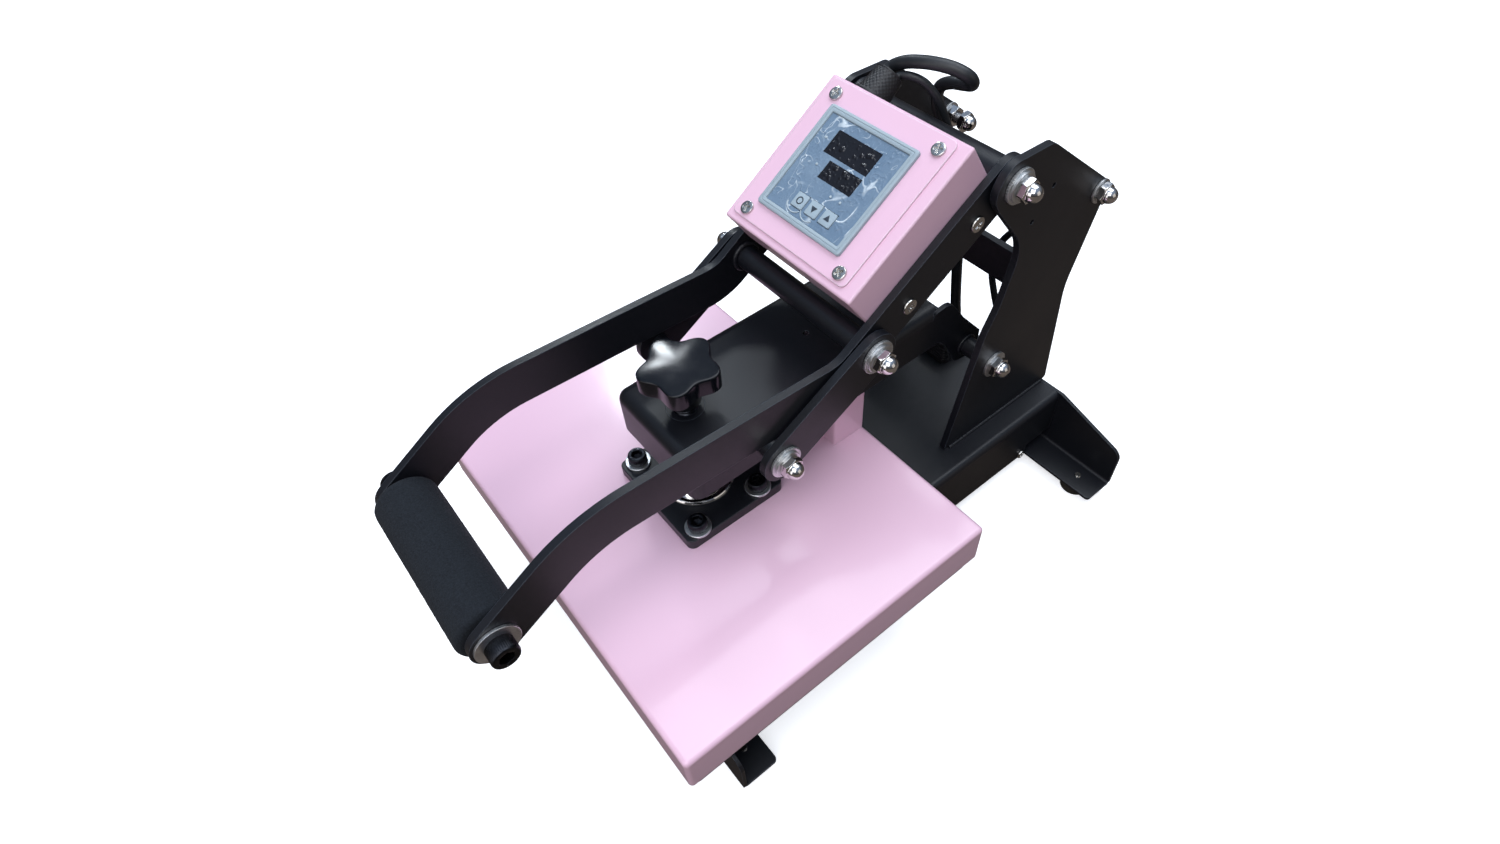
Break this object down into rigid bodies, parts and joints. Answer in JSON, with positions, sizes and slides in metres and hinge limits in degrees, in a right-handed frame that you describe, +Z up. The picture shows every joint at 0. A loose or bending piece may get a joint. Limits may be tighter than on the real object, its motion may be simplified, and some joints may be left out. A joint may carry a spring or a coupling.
{
  "type": "tabletop heat press",
  "caption": "Tabletop clamshell press: heated platen on a toggle arm, foam-grip handle, star pressure knob, tilted control box with display, channel base with padded lower plate.",
  "frame": {"origin": "on the table top, below the middle of the machine's footprint; the pressure screw's axis stands at Y = -0.058 m", "axes": "+X to the operator's right, +Y to the back, +Z up; X = 0 is the plane through the pressure screw, which divides the two handle arms, uprights and links"},
  "size_m": [0.3, 0.4796, 0.3331],
  "materials": {
    "frame_black": "black powder coat, semi-matt with a fine texture",
    "pink_paint": "pale pink gloss paint",
    "zinc_screws": "bright zinc plate",
    "zinc_washers": "zinc plate, satin",
    "chrome_nuts": "polished",
    "rod_steel": "turned steel",
    "socket_screws": "black oxide",
    "foot_rubber": "matt",
    "silicone": "matt silicone foam",
    "black_plastic": "moulded",
    "cord_rubber": "matt jacket",
    "foam": "closed-cell foam, fine grain",
    "bezel_grey": "satin",
    "display": "glossy overlay under a protective film",
    "board_green": "solder mask",
    "button_grey": "satin",
    "plate_aluminium": "ground face",
    "insulation": "needled glass fibre mat",
    "element_steel": "heat-tinted steel sheath",
    "knob_plastic": "glossy moulding"
  },
  "bodies": {
    "frame": {"base_channel": "frame_black", "base_bottom_tray": "frame_black", "base_pan_screws": "zinc_screws", "leg_brackets": "frame_black", "rubber_feet": "foot_rubber", "upright_left": "frame_black", "upright_right": "frame_black", "cross_brace": "frame_black", "lower_plate": "frame_black", "silicone_pad": "silicone", "pivot_rods": "rod_steel", "main_acorn_nuts": "chrome_nuts", "frame_acorn_nuts": "chrome_nuts", "frame_washers": "zinc_washers", "corner_bolts": "rod_steel", "cord_anchor": "black_plastic", "mains_inlet": "black_plastic", "power_cord": "cord_rubber"},
    "handle": {"handle_arm_left": "frame_black", "handle_arm_right": "frame_black", "handle_pivot_tube": "frame_black", "handle_cross_tube": "frame_black", "link_pin_rod": "rod_steel", "link_pin_nuts": "chrome_nuts", "link_pin_washers": "zinc_washers", "grip_core_tube": "rod_steel", "foam_grip": "foam", "grip_screws": "socket_screws", "grip_washers": "zinc_washers", "box_shell": "pink_paint", "box_face_plate": "pink_paint", "box_side_brackets": "frame_black", "box_pan_screws": "zinc_screws", "controller_bezel": "bezel_grey", "display_window": "display", "controller_body": "black_plastic", "circuit_board": "board_green", "cable_gland": "black_plastic"},
    "button_down": {"button_down": "button_grey"},
    "button_up": {"button_up": "button_grey"},
    "button_set": {"button_set": "button_grey"},
    "links": {"link_left": "frame_black", "link_right": "frame_black", "link_end_nuts": "chrome_nuts", "link_end_washers": "zinc_washers"},
    "press_arm": {"press_arm_channel": "frame_black", "threaded_boss": "frame_black", "arm_tubes": "frame_black"},
    "platen": {"platen_cover": "pink_paint", "heat_plate": "plate_aluminium", "mount_plate": "frame_black", "mount_screws": "socket_screws", "mount_washers": "zinc_washers", "insulation_blanket": "insulation", "heating_element": "element_steel", "terminal_cover": "pink_paint", "swivel_collar": "chrome_nuts", "heater_cable": "cord_rubber"},
    "knob": {"pressure_screw": "rod_steel", "star_knob": "knob_plastic"}
  },
  "joints": [
    {"name": "handle_swing", "type": "hinge", "parent": "frame", "child": "handle", "pos_m": [0, 0.1396, 0.2891], "axis": [-1, 0, 0], "range_deg": [0, 80], "deforming": ["power_cord"]},
    {"name": "arm_swing", "type": "hinge", "parent": "frame", "child": "press_arm", "pos_m": [0, 0.1554, 0.1343], "axis": [-1, 0, 0], "range_deg": [0, 43.1], "deforming": ["heater_cable"]},
    {"name": "link_swing", "type": "hinge", "parent": "handle", "child": "links", "pos_m": [0, 0.035, 0.2222], "axis": [1, 0, 0], "range_deg": [0, 135.8]},
    {"name": "platen_lift", "type": "slide", "parent": "press_arm", "child": "platen", "axis": [0, 0, 1], "range_m": [0, 0.005]},
    {"name": "knob_turn", "type": "hinge", "parent": "platen", "child": "knob", "pos_m": [0, -0.058, 0.216], "axis": [0, 0, 1], "range_deg": [0, 600.5]},
    {"name": "button_down_press", "type": "slide", "parent": "handle", "child": "button_down", "axis": [0, 0.5487, -0.836], "range_m": [0, 0.0008]},
    {"name": "button_up_press", "type": "slide", "parent": "handle", "child": "button_up", "axis": [0, 0.5487, -0.836], "range_m": [0, 0.0008]},
    {"name": "button_set_press", "type": "slide", "parent": "handle", "child": "button_set", "axis": [0, 0.5487, -0.836], "range_m": [0, 0.0008]}
  ],
  "couplings": [
    {"joint": "arm_swing", "follows": "handle_swing", "ratio": 0.53741},
    {"joint": "link_swing", "follows": "handle_swing", "ratio": 1.6962},
    {"joint": "knob_turn", "follows": "platen_lift", "rad_per_m": 2094.4}
  ]
}
